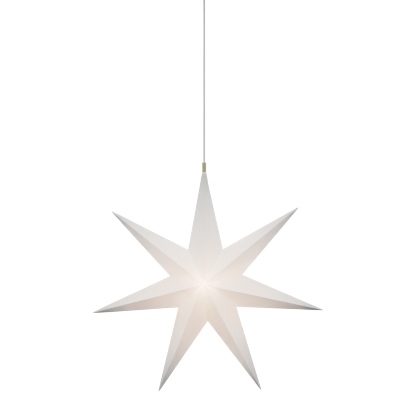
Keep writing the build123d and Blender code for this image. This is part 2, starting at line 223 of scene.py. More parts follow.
def paper():
    """White card: cloudy formation, short fibres, glued layers at the points, and painted shade along the folds, at the
    points and over parts of each arm.
    """
    m = Mat("paper")
    at = m.coords()
    cloud = m.noise(at, 85.0, 3.0, 0.55)
    flock = m.noise(at, 420.0, 2.0, 0.6)
    fibre = m.noise(m.scaled(at, (1.0, 1.0, 0.35)), 2600.0, 2.0, 0.65, 0.6)
    fold = m.add("ShaderNodeAttribute", attribute_type="GEOMETRY", attribute_name="fold").outputs["Fac"]
    painted_crease_shade = m.span(fold, 0.0, 1.1, 1.0, 0.0, smooth=True)
    tip = m.add("ShaderNodeAttribute", attribute_type="GEOMETRY", attribute_name="tip").outputs["Fac"]
    single = m.span(tip, TIP_LAYERS[0], TIP_LAYERS[1], 0.0, 1.0, smooth=True)
    glow = m.add("ShaderNodeAttribute", attribute_type="GEOMETRY", attribute_name="glow").outputs["Fac"]
    # painted shade: the grey attribute makes the card darker, both in what it sends back and in what it lets through
    grey = m.add("ShaderNodeAttribute", attribute_type="GEOMETRY", attribute_name="grey").outputs["Fac"]
    painted_shade_tint = m.mix(grey, (1.0, 1.0, 1.0, 1.0), (0.0, 0.0, 0.05, 1.0))
    tone = m.math("ADD", m.math("MULTIPLY", cloud, 0.6), m.math("MULTIPLY", flock, 0.4))
    base = m.ramp(tone, (0.30, (0.940, 0.940, 0.938)), (0.70, (0.970, 0.970, 0.968)))
    # painted shade at the points: the base colour turns grey there, while the glued layers only let less light through
    base = m.mix(m.math("MULTIPLY", m.math("SUBTRACT", 1.0, single), 0.8), base, (0.70, 0.695, 0.69, 1.0))
    # painted shade along the folds
    base = m.mix(m.math("MULTIPLY", painted_crease_shade, 0.2), base, (0.86, 0.86, 0.855, 1.0))
    base = m.mix(1.0, base, painted_shade_tint, "MULTIPLY")
    rough = m.span(fibre, 0.3, 0.7, 0.78, 0.94)
    height = m.math("ADD", m.math("MULTIPLY", fibre, 0.5), m.math("MULTIPLY", flock, 0.5))
    normal = m.bump(height, 0.22, 0.00012)
    body = m.principled(Base_Color=base, Roughness=rough, Normal=normal)
    body.inputs["Specular IOR Level"].default_value = 0.25
    through = m.add("ShaderNodeBsdfTranslucent")
    lit = m.ramp(tone, (0.30, (0.935, 0.935, 0.93)), (0.70, (0.97, 0.97, 0.965)))
    m.set(through.inputs["Color"], m.mix(1.0, lit, painted_shade_tint, "MULTIPLY"))
    m.link(normal, through.inputs["Normal"])
    share = m.math("MULTIPLY", m.span(tone, 0.30, 0.70, 0.080, 0.096), m.span(single, 0.0, 1.0, 0.2, 1.0))
    share = m.math("ADD", share, m.math("MULTIPLY", glow, GLOW_SHARE))
    both = m.add("ShaderNodeMixShader")
    m.link(share, both.inputs["Fac"])
    m.link(body.outputs[0], both.inputs[1])
    m.link(through.outputs[0], both.inputs[2])
    return m.finish(both.outputs[0])


BRAID_N = 8
BRAID_PITCH = 24.0


def cord_textile():
    """Braided textile: crossing strands of fine yarn, with painted shade where they dip."""
    m = Mat("cord")
    at = m.coords()
    split = m.add("ShaderNodeSeparateXYZ")
    m.link(at, split.inputs[0])
    turn = m.math("MULTIPLY", m.math("ARCTAN2", split.outputs["Y"], split.outputs["X"]), BRAID_N / (2 * math.pi))
    rise = m.math("MULTIPLY", split.outputs["Z"], 1000.0 * BRAID_N / BRAID_PITCH)
    one = m.math("ADD", turn, rise)
    two = m.math("SUBTRACT", turn, rise)
    whole = m.math("ADD", m.math("FLOOR", one), m.math("FLOOR", two))
    over = m.math("MULTIPLY", m.math("FRACT", m.math("MULTIPLY", whole, 0.5)), 2.0)
    f1, f2 = m.math("FRACT", one), m.math("FRACT", two)
    across = m.math("ADD", m.math("MULTIPLY", f1, m.math("SUBTRACT", 1.0, over)), m.math("MULTIPLY", f2, over))
    along = m.math("ADD", m.math("MULTIPLY", f2, m.math("SUBTRACT", 1.0, over)), m.math("MULTIPLY", f1, over))
    dip_a = m.math("ABSOLUTE", m.math("SUBTRACT", across, 0.5))
    dip_b = m.math("ABSOLUTE", m.math("SUBTRACT", along, 0.5))
    edge = m.math("MAXIMUM", dip_a, dip_b)
    groove = m.span(edge, 0.30, 0.50, 0.0, 1.0, smooth=True)
    yarn = m.math("SINE", m.math("MULTIPLY", across, 2 * math.pi * 4.0))
    fuzz = m.noise(at, 2600.0, 2.0, 0.6)
    fleck = m.noise(at, 700.0, 2.0, 0.5)
    tone = m.math("ADD", m.math("MULTIPLY", fleck, 0.7), m.math("MULTIPLY", fuzz, 0.3))
    colour = m.ramp(tone, (0.30, (0.55, 0.56, 0.57)), (0.70, (0.68, 0.685, 0.69)))
    # painted shade in the grooves between the strands
    colour = m.mix(m.math("MULTIPLY", groove, 0.55), colour, (0.36, 0.365, 0.37, 1.0))
    height = m.math("ADD", m.math("MULTIPLY", yarn, 0.30), m.math("MULTIPLY", fuzz, 0.7))
    height = m.math("SUBTRACT", height, m.math("MULTIPLY", groove, 0.9))
    body = m.principled(
        Base_Color=colour,
        Roughness=m.span(fuzz, 0.3, 0.7, 0.70, 0.90),
        Normal=m.bump(height, 0.5, 0.00012),
    )
    body.inputs["Sheen Weight"].default_value = 0.25
    body.inputs["Sheen Roughness"].default_value = 0.5
    body.inputs["Specular IOR Level"].default_value = 0.3
    return m.finish(body.outputs[0])


def turned_metal(name, dark, light, rough_low, rough_high, ring_scale, ring_bump, tarnish=0.0, tarnish_colour=(0.2, 0.17, 0.1)):
    """Metal with fine turning rings around Z, uneven polish and a little tarnish."""
    m = Mat(name)
    at = m.coords()
    rings = m.noise(m.scaled(at, (0.03, 0.03, 1.0)), ring_scale, 3.0, 0.6)
    wear = m.noise(at, 160.0, 3.0, 0.6)
    tone = m.math("ADD", m.math("MULTIPLY", rings, 0.5), m.math("MULTIPLY", wear, 0.5))
    colour = m.ramp(tone, (0.32, dark), (0.68, light))
    if tarnish:
        spots = m.span(m.noise(at, 520.0, 3.0, 0.7), 0.56, 0.72, 0.0, tarnish, smooth=True)
        colour = m.mix(spots, colour, (*tarnish_colour, 1.0))
    body = m.principled(
        Base_Color=colour,
        Roughness=m.span(tone, 0.3, 0.7, rough_low, rough_high),
        Normal=m.bump(rings, ring_bump, 0.00005),
    )
    body.inputs["Metallic"].default_value = 1.0
    return m.finish(body.outputs[0])


def zinc():
    """Bright zinc plating: faint spangle and soft brushing."""
    m = Mat("steel")
    at = m.coords()
    cells = m.voronoi(at, 900.0, output="Color")
    grey = m.add("ShaderNodeRGBToBW")
    m.link(cells, grey.inputs[0])
    film = m.noise(at, 240.0, 3.0, 0.6)
    brush = m.noise(m.scaled(at, (1.0, 0.06, 0.06)), 3800.0, 2.0, 0.5)
    tone = m.math("ADD", m.math("MULTIPLY", grey.outputs[0], 0.35), m.math("MULTIPLY", film, 0.65))
    body = m.principled(
        Base_Color=m.ramp(tone, (0.25, (0.60, 0.61, 0.62)), (0.75, (0.76, 0.77, 0.78))),
        Roughness=m.span(tone, 0.25, 0.75, 0.26, 0.44),
        Normal=m.bump(brush, 0.18, 0.00004),
    )
    body.inputs["Metallic"].default_value = 1.0
    return m.finish(body.outputs[0])


def moulded(name, dark, light, rough_low=0.38, rough_high=0.55, grain=2200.0, depth=0.00004, soft=0.0, strength=0.25):
    """Moulded plastic with a fine spark-eroded grain and faint flow shading."""
    m = Mat(name)
    at = m.coords()
    grit = m.noise(at, grain, 2.0, 0.6)
    flow = m.noise(at, 90.0, 3.0, 0.5, 0.4)
    body = m.principled(
        Base_Color=m.ramp(flow, (0.30, dark), (0.70, light)),
        Roughness=m.span(grit, 0.3, 0.7, rough_low, rough_high),
        Normal=m.bump(grit, strength, depth),
    )
    if soft:
        body.inputs["Subsurface Weight"].default_value = soft
        body.inputs["Subsurface Radius"].default_value = (0.002, 0.0018, 0.0015)
        body.inputs["Subsurface Scale"].default_value = 1.0
    return m.finish(body.outputs[0])


def powder_coat():
    """White powder coat: fine orange peel over steel."""
    m = Mat("canopy_white")
    at = m.coords()
    peel = m.noise(at, 1150.0, 2.0, 0.45)
    dust = m.noise(at, 70.0, 4.0, 0.6)
    rub = m.noise(m.scaled(at, (1.0, 1.0, 0.2)), 260.0, 3.0, 0.6)
    body = m.principled(
        Base_Color=m.ramp(dust, (0.28, (0.815, 0.815, 0.81)), (0.72, (0.865, 0.865, 0.862))),
        Roughness=m.span(rub, 0.3, 0.7, 0.40, 0.56),
        Normal=m.bump(peel, 0.30, 0.00008),
    )
    return m.finish(body.outputs[0])


def ceramic():
    """Unglazed steatite: sandy grain with a few darker specks."""
    m = Mat("holder_insert")
    at = m.coords()
    sand = m.noise(at, 1800.0, 3.0, 0.7)
    speck = m.span(m.voronoi(at, 1500.0), 0.10, 0.22, 0.5, 0.0, smooth=True)
    colour = m.ramp(sand, (0.3, (0.70, 0.675, 0.63)), (0.7, (0.80, 0.78, 0.735)))
    colour = m.mix(speck, colour, (0.50, 0.46, 0.41, 1.0))
    body = m.principled(
        Base_Color=colour,
        Roughness=m.span(sand, 0.3, 0.7, 0.60, 0.82),
        Normal=m.bump(sand, 0.35, 0.00008),
    )
    return m.finish(body.outputs[0])


def pile(name, dark, light, scale):
    """Hook or loop tape: a dense pile of short nylon threads."""
    m = Mat(name)
    at = m.coords()
    tuft = m.voronoi(at, scale)
    fuzz = m.noise(at, scale * 2.3, 2.0, 0.6)
    height = m.math("ADD", m.math("MULTIPLY", tuft, 0.8), m.math("MULTIPLY", fuzz, 0.4))
    body = m.principled(
        Base_Color=m.ramp(tuft, (0.1, light), (0.6, dark)),
        Roughness=m.span(fuzz, 0.3, 0.7, 0.62, 0.85),
        Normal=m.bump(height, 0.7, 0.0003),
    )
    body.inputs["Sheen Weight"].default_value = 0.3
    return m.finish(body.outputs[0])


BULB_POWER = 372.0


def opal_glow():
    """Opal bulb, lit: evenly bright with a slightly dimmer neck and faint coating clouds."""
    m = Mat("bulb_glass")
    at = m.coords()
    split = m.add("ShaderNodeSeparateXYZ")
    m.link(at, split.inputs[0])
    coat = m.noise(at, 120.0, 3.0, 0.5)
    neck = m.span(split.outputs["Z"], STAR_Z / 1000 + 0.012, STAR_Z / 1000 + 0.034, 1.0, 0.45, smooth=True)
    body = m.principled(
        Base_Color=m.ramp(coat, (0.3, (0.86, 0.85, 0.83)), (0.7, (0.92, 0.91, 0.89))),
        Roughness=m.span(coat, 0.3, 0.7, 0.16, 0.26),
    )
    bright = m.math("MULTIPLY", neck, m.span(coat, 0.3, 0.7, 0.923, 1.0))
    m.link(m.mix(bright, (0.0, 0.0, 0.0, 1.0), (1.0, 0.515, 0.335, 1.0)), body.inputs["Emission Color"])
    body.inputs["Emission Strength"].default_value = BULB_POWER
    return m.finish(body.outputs[0])


def clear_glass():
    """Clear stem glass with faint draw lines."""
    m = Mat("stem_glass")
    at = m.coords()
    lines = m.noise(m.scaled(at, (1.0, 1.0, 0.08)), 900.0, 2.0, 0.5)
    body = m.principled(
        Base_Color=m.ramp(lines, (0.3, (0.92, 0.94, 0.93)), (0.7, (0.97, 0.98, 0.97))),
        Roughness=m.span(lines, 0.3, 0.7, 0.03, 0.08),
        Normal=m.bump(lines, 0.15, 0.00005),
    )
    body.inputs["Transmission Weight"].default_value = 0.85
    body.inputs["IOR"].default_value = 1.5
    return m.finish(body.outputs[0])


def phosphor():
    """Light strips: granular yellow phosphor."""
    m = Mat("filament")
    at = m.coords()
    grain = m.noise(at, 3000.0, 2.0, 0.6)
    body = m.principled(
        Base_Color=m.ramp(grain, (0.3, (0.85, 0.58, 0.16)), (0.7, (0.95, 0.72, 0.28))),
        Roughness=m.span(grain, 0.3, 0.7, 0.5, 0.75),
        Normal=m.bump(grain, 0.4, 0.00008),
    )
    return m.finish(body.outputs[0])


MATERIALS = {
    "paper": paper(),
    "cord": cord_textile(),
    "brass": turned_metal(
        "brass", (0.345, 0.315, 0.170), (0.435, 0.40, 0.220), 0.48, 0.62, 4200.0, 0.25, 0.35, (0.26, 0.23, 0.14)
    ),
    "contact_brass": turned_metal(
        "contact_brass", (0.60, 0.45, 0.18), (0.76, 0.60, 0.28), 0.20, 0.36, 2600.0, 0.15, 0.25, (0.35, 0.24, 0.1)
    ),
    "steel": zinc(),
    "bulb_cap": turned_metal("bulb_cap", (0.66, 0.66, 0.66), (0.80, 0.80, 0.79), 0.20, 0.36, 3000.0, 0.15),
    "solder": turned_metal("solder", (0.46, 0.46, 0.47), (0.64, 0.64, 0.66), 0.36, 0.58, 700.0, 0.3),
    "nylon": moulded("nylon", (0.80, 0.80, 0.785), (0.86, 0.86, 0.845), 0.36, 0.50, 1900.0, 0.00005),
    "holder_plastic": moulded("holder_plastic", (0.80, 0.795, 0.775), (0.86, 0.855, 0.835), 0.34, 0.50, 2400.0),
    "block_white": moulded("block_white", (0.74, 0.74, 0.72), (0.81, 0.81, 0.79), 0.42, 0.58, 1600.0, 0.00006),
    "wire_brown": moulded("wire_brown", (0.115, 0.045, 0.02), (0.16, 0.065, 0.03), 0.34, 0.50, 2600.0),
    "wire_blue": moulded("wire_blue", (0.02, 0.10, 0.36), (0.035, 0.14, 0.45), 0.34, 0.50, 2600.0),
    "holder_insert": ceramic(),
    "hook": pile("hook", (0.52, 0.52, 0.50), (0.80, 0.80, 0.78), 1400.0),
    "loop": pile("loop", (0.62, 0.62, 0.60), (0.86, 0.86, 0.84), 1000.0),
    "bulb_glass": opal_glow(),
    "bulb_black": moulded("bulb_black", (0.012, 0.012, 0.013), (0.03, 0.03, 0.032), 0.10, 0.20, 900.0, 0.00003),
    "stem_glass": clear_glass(),
    "filament": phosphor(),
    "canopy_white": powder_coat(),
}

NODE_SLOT = {
    "seam_hook_dots": "hook",
    "seam_loop_dots": "loop",
    "neck_sleeve": "brass",
    "neck_screw": "steel",
    "neck_core": "nylon",
    "cord_stop": "steel",
    "cord_flex": "cord",
    "lower_cord": "cord",
    "cord_head": "cord",
    "holder_nipple": "nylon",
    "holder_cap": "holder_plastic",
    "holder_skirt": "holder_plastic",
    "holder_insert": "holder_insert",
    "holder_thread": "contact_brass",
    "holder_contact": "contact_brass",
    "holder_screws": "contact_brass",
    "holder_wire_live": "wire_brown",
    "holder_wire_neutral": "wire_blue",
    "bulb_glass": "bulb_glass",
    "bulb_thread": "bulb_cap",
    "bulb_insulator": "bulb_black",
    "bulb_tip": "solder",
    "bulb_stem": "stem_glass",
    "bulb_filaments": "filament",
    "ceiling_bracket": "steel",
    "canopy_cup": "canopy_white",
    "canopy_screws": "steel",
    "grip_body": "nylon",
    "grip_nut": "steel",
    "grip_screw": "nylon",
    "terminal_block": "block_white",
    "terminal_screws": "steel",
    "canopy_wire_live": "wire_brown",
    "canopy_wire_neutral": "wire_blue",
}
for name, slot in NODE_SLOT.items():
    for material_slot in nodes[name].material_slots:
        material_slot.material = MATERIALS[slot]

# ---------------------------------------------------------------- cord


def route_points(points, resolution):
    """Points along a NURBS spline through the route's control points."""
    curve = bpy.data.curves.new("route", "CURVE")
    curve.dimensions = "3D"
    spline = curve.splines.new("NURBS")
    spline.points.add(len(points) - 1)
    for p, co in zip(spline.points, points):
        p.co = (*co, 1.0)
    spline.order_u = 3
    spline.use_endpoint_u = True
    spline.resolution_u = resolution
    holder = bpy.data.objects.new("route", curve)
    scene.collection.objects.link(holder)
    bpy.context.view_layer.update()
    mesh = bpy.data.meshes.new_from_object(holder)
    found = np.array([v.co for v in mesh.vertices], float)
    bpy.data.objects.remove(holder)
    bpy.data.curves.remove(curve)
    bpy.data.meshes.remove(mesh)
    return found


def braid_height(turn, rise):
    """Relief of the braid, 0 in the grooves to 1 on a strand, at parts of a turn and of a pitch."""
    one = BRAID_N * (turn + rise)
    two = BRAID_N * (turn - rise)
    over = np.mod(np.floor(one) + np.floor(two), 2.0)
    f1, f2 = one - np.floor(one), two - np.floor(two)
    across = np.where(over > 0.5, f2, f1)
    along = np.where(over > 0.5, f1, f2)
    return np.sqrt(np.clip(1 - (2 * across - 1) ** 2, 0, 1)) * (1 - 0.7 * (2 * along - 1) ** 2)


CORD_TOP_Z = SWING_Z + 1.4
cord_route = [
    (0.0, 0.0, CORD_TOP_Z / 1000),
    (0.0, 0.0, -0.075),
    (0.00022, 0.0, -0.165),
    (-0.00018, 0.00012, -0.275),
    (0.00014, -0.0001, -0.385),
    (-0.0001, 0.0, -0.495),
    (0.0, 0.0, -0.550),
    (0.0, 0.0, CORD_END_Z / 1000),
]
line = route_points(cord_route, 180)
AROUND = 48
theta = np.arange(AROUND) * 2 * math.pi / AROUND
ring_z = line[:, 2][:, None]
relief = braid_height(theta[None, :] / (2 * math.pi), ring_z * 1000 / BRAID_PITCH + 0 * theta[None, :])
radius = (CORD_R - 0.12 + 0.18 * relief) / 1000
cord_co = np.stack(
    [
        line[:, 0][:, None] + radius * np.cos(theta)[None, :],
        line[:, 1][:, None] + radius * np.sin(theta)[None, :],
        np.repeat(ring_z, AROUND, axis=1),
    ],
    axis=2,
).reshape(-1, 3)
faces = []
for i in range(len(line) - 1):
    for j in range(AROUND):
        k = (j + 1) % AROUND
        faces.append((i * AROUND + j, (i + 1) * AROUND + j, (i + 1) * AROUND + k, i * AROUND + k))
faces.append(tuple(range(AROUND)))
faces.append(tuple((len(line) - 1) * AROUND + j for j in reversed(range(AROUND))))
cord_mesh = bpy.data.meshes.new("pendant_cord_braid")
cord_mesh.from_pydata(cord_co.tolist(), [], faces)
cord_mesh.materials.append(MATERIALS["cord"])
cord_mesh.shade_smooth()
cord_mesh.validate()
cord = bpy.data.objects.new("pendant_cord_braid", cord_mesh)
scene.collection.objects.link(cord)
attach(cord, "cord")
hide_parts("pendant_cord")

# ---------------------------------------------------------------- paper arms

# how far from its sharp point each arm ends, mm
BLUNT = (0.0, 9.5, 7.0, 5.5, 10.0, 14.5, 11.0)
# painted shade: how much greyer each arm is painted at its point and how sharply that fades, over how many mm:
# the side counter-clockwise of its ridge, then the other
PAINTED_SHADE_L = 215.0
TIP_PAINTED_SHADE = (
    ((0.29, 0.6), (0.37, 1.0)),
    ((0.26, 1.0), (0.26, 1.0)),
    ((0.39, 1.0), (0.70, 3.5)),
    ((0.44, 1.0), (0.66, 4.2)),
    ((0.43, 1.0), (0.47, 1.0)),
    ((0.43, 2.5), (0.37, 1.0)),
    ((0.15, 1.0), (0.24, 1.0)),
)
# the last mm of each arm, or of its neck, get less of the painted shade: how much of it is left, and over how many mm
# it comes back
END_PALE = ((0.25, 13.0), (0.55, 32.0), (0.55, 32.0), (1.0, 30.0), (1.0, 30.0), (0.35, 36.0), (0.55, 32.0))
# painted shade along the whole arm: on the top arm this is the painted shadow of the lamp holder
ROOT_PAINTED_SHADE = (0.03, 0.0, 0.0, 0.0, 0.0, 0.0, 0.0)
# a faint broad band of painted shade along some sides: amount, mm from the point, half width
MID_PAINTED_SHADE = {(2, 0): (0.135, 122.0, 48.0), (3, 1): (0.055, 128.0, 50.0), (5, 1): (0.10, 172.0, 44.0), (6, 0): (0.035, 150.0, 60.0)}
# how far each tip and each valley of the hand-folded star stands off the even one: degrees, share of its radius
TIP_OFF = ((0.16, -0.004), (-0.21, 0.016), (-1.07, 0.013), (0.26, 0.007), (0.49, 0.011), (0.45, 0.020), (0.34, 0.021))
VALLEY_OFF = (    # valley clockwise of each arm
    (-0.93, 0.007), (-0.33, -0.025), (-0.78, 0.006), (0.33, -0.001), (0.54, -0.009), (0.46, -0.006), (1.92, 0.019),
)


def arm_angle(k):
    return math.pi / 2 - 2 * math.pi * k / POINTS + LEAN


_stops = []
for k in range(POINTS):
    _stops.append((arm_angle(k) % (2 * math.pi), *TIP_OFF[k]))
    _stops.append(((arm_angle(k) - HALF) % (2 * math.pi), *VALLEY_OFF[k]))
VALLEY_AT = [(arm_angle(k) - HALF) % (2 * math.pi) for k in range(POINTS)]
_stops.sort()
_stops = [(_stops[-1][0] - 2 * math.pi, *_stops[-1][1:])] + _stops + [(_stops[0][0] + 2 * math.pi, *_stops[0][1:])]
STOP_AT = np.array([s[0] for s in _stops])
STOP_FROM = np.array([(math.cos(a), math.sin(a)) for a, _, _ in _stops])
STOP_TO = np.array(
    [((1 + r) * math.cos(a + math.radians(d)), (1 + r) * math.sin(a + math.radians(d))) for a, d, r in _stops]
)


STOP_NORMAL = np.column_stack([-STOP_TO[:, 1], STOP_TO[:, 0]]) / np.linalg.norm(STOP_TO, axis=1)[:, None]
VALLEY_STOPS = [i for i, a in enumerate(STOP_AT) if min(abs(a - v) for v in VALLEY_AT) < 1e-6]


def hand_fold(points):
    """Moves points of the even star to the slightly uneven one: each facet keeps its straight edges."""
    rel = points - CENTRE
    angle = np.mod(np.arctan2(rel[:, 2], rel[:, 0]), 2 * math.pi)
    i = np.clip(np.searchsorted(STOP_AT, angle, side="right") - 1, 0, len(STOP_AT) - 2)
    p, q = STOP_FROM[i], STOP_FROM[i + 1]
    det = p[:, 0] * q[:, 1] - p[:, 1] * q[:, 0]
    along_p = (rel[:, 0] * q[:, 1] - rel[:, 2] * q[:, 0]) / det
    along_q = (rel[:, 2] * p[:, 0] - rel[:, 0] * p[:, 1]) / det
    flat = along_p[:, None] * STOP_TO[i] + along_q[:, None] * STOP_TO[i + 1]
    return CENTRE + np.column_stack([flat[:, 0], rel[:, 1], flat[:, 1]])


def ease(x):
    x = min(max(x, 0.0), 1.0)
    return x * x * (3 - 2 * x)


def painted_shade_at(k, tip, side):
    """Painted shade of arm k at this distance from its point; side is 1 counter-clockwise of the ridge and 0 clockwise.
    """
    one, two = (
        ROOT_PAINTED_SHADE[k] + (amount - ROOT_PAINTED_SHADE[k]) * (1 - ease((tip - 5.0) / (PAINTED_SHADE_L - 5.0))) ** sharp
        for amount, sharp in TIP_PAINTED_SHADE[k]
    )
    band = [amount * math.exp(-(((tip - at) / over) ** 2)) for amount, at, over in (MID_PAINTED_SHADE.get((k, n), (0.0, 0.0, 1.0)) for n in (1, 0))]
    one, two = one + band[0], two + band[1]
    end = TIP_R - NECK_AXIAL if k == 0 else BLUNT[k]
    left, over = END_PALE[k]
    return (side * one + (1 - side) * two) * (left + (1 - left) * ease((tip - end) / over))


EDGE_N = 9
FOLD_GAP = -0.01


class Layer:
    """Outer or inner skin of one arm; depth is how far inside the outer skin it lies."""

    def __init__(self, depth):
        self.depth = depth
        self.tip = TIP_R - WALL_SHIFT * depth / PAPER_T
        g = FOLD_GAP + depth
        self.av = (self.tip * SIDE * COS_H + g) / (SIDE * COS_H + SIN_H)
        self.ap = g / SIN_H
        self.kappa = (self.tip - self.av) / (self.tip - self.ap)

    def q_at(self, axial):
        return (self.tip - axial) / (self.tip - self.av)

    def ring(self, q, blunt=0.0):
        """Points around the arm at row q, with each point's edge, place along it and fold distance.

        blunt is how far from the point the rounded end of the arm lies."""
        r = self.kappa * q + (1 - self.kappa) * q**3
        a_s = self.tip - q * (self.tip - self.av)
        a_r = self.tip - r * (self.tip - self.ap)
        end = math.sqrt(max(1 - (blunt / (self.tip - a_s)) ** 2, 0.0016)) if blunt else 1.0
        b = (self.tip - a_s) * SIDE * end
        c = (self.tip - a_r) * RIDGE * end
        corner = [np.array(p) for p in ((a_r, 0, c), (a_s, b, 0), (a_r, 0, -c), (a_s, -b, 0))]
        length = np.linalg.norm(corner[1] - corner[0])
        d = min(1.3, 0.10 * length) * (1 - 0.92 * ease((q - 0.90) / 0.10))
        d_ridge = max(d - 1.56 * self.depth, 0.012 * min(length, 30.0))
        d_side = max(d - 0.60 * self.depth, 0.012 * min(length, 30.0))
        points, info = [], []
        for i in range(4):
            here, after, before = corner[i], corner[(i + 1) % 4], corner[i - 1]
            d0, d1 = (d_ridge, d_side) if i % 2 == 0 else (d_side, d_ridge)
            to_next = (after - here) / length
            to_last = (before - here) / length
            p0, p2 = here + to_last * d0, here + to_next * d0
            for t in (0.25, 0.5, 0.75):
                points.append((1 - t) ** 2 * p0 + 2 * t * (1 - t) * here + t * t * p2)
                info.append((i, 0.0, length, True))
            for j in range(EDGE_N + 2):
                s = d0 + (length - d0 - d1) * j / (EDGE_N + 1)
                points.append(here + to_next * s)
                info.append((i, s, length, False))
        return np.array(points), info


RING_N = 4 * (3 + EDGE_N + 2)
# which side of the ridge each point around the arm is on
RING_SIDE = (
    [0.25, 0.5, 0.75] + [1.0] * (EDGE_N + 2)
    + [1.0] * (3 + EDGE_N + 2)
    + [0.75, 0.5, 0.25] + [0.0] * (EDGE_N + 2)
    + [0.0] * (3 + EDGE_N + 2)
)
INWARD = np.array([HALF_DEPTH, VALLEY_R]) / FOLD_L


def inward_of(edge, at_corner):
    """Direction inwards along the valley plane, seen from the fold of this edge."""
    side = 1 if edge in (0, 1) else -1
    face = 1 if edge in (0, 3) else -1
    d = np.array([-INWARD[0] * COS_H, -side * INWARD[0] * SIN_H, -face * INWARD[1]])
    if at_corner:
        if edge % 2 == 0:      # front or back peak
            d = np.array([-INWARD[0] * COS_H, 0.0, (-1 if edge == 0 else 1) * INWARD[1]])
        else:
            d = np.array([-COS_H, (-1 if edge == 1 else 1) * SIN_H, 0.0])
        d = d / np.linalg.norm(d)
    return d, side


def flap_width(along):
    rise = min(max((along - FLAP_FROM) / FLAP_BEVEL, 0.0), 1.0)
    fall = min(max((FLAP_TO - along) / FLAP_BEVEL, 0.0), 1.0)
    low = min(2.4, 0.35 + 0.6 * max(min(along, FOLD_L - along), 0.0))
    return max(low, FLAP_W * rise * fall)


FLAP_STEPS = (0.05, 0.2, 0.5, 1.0)


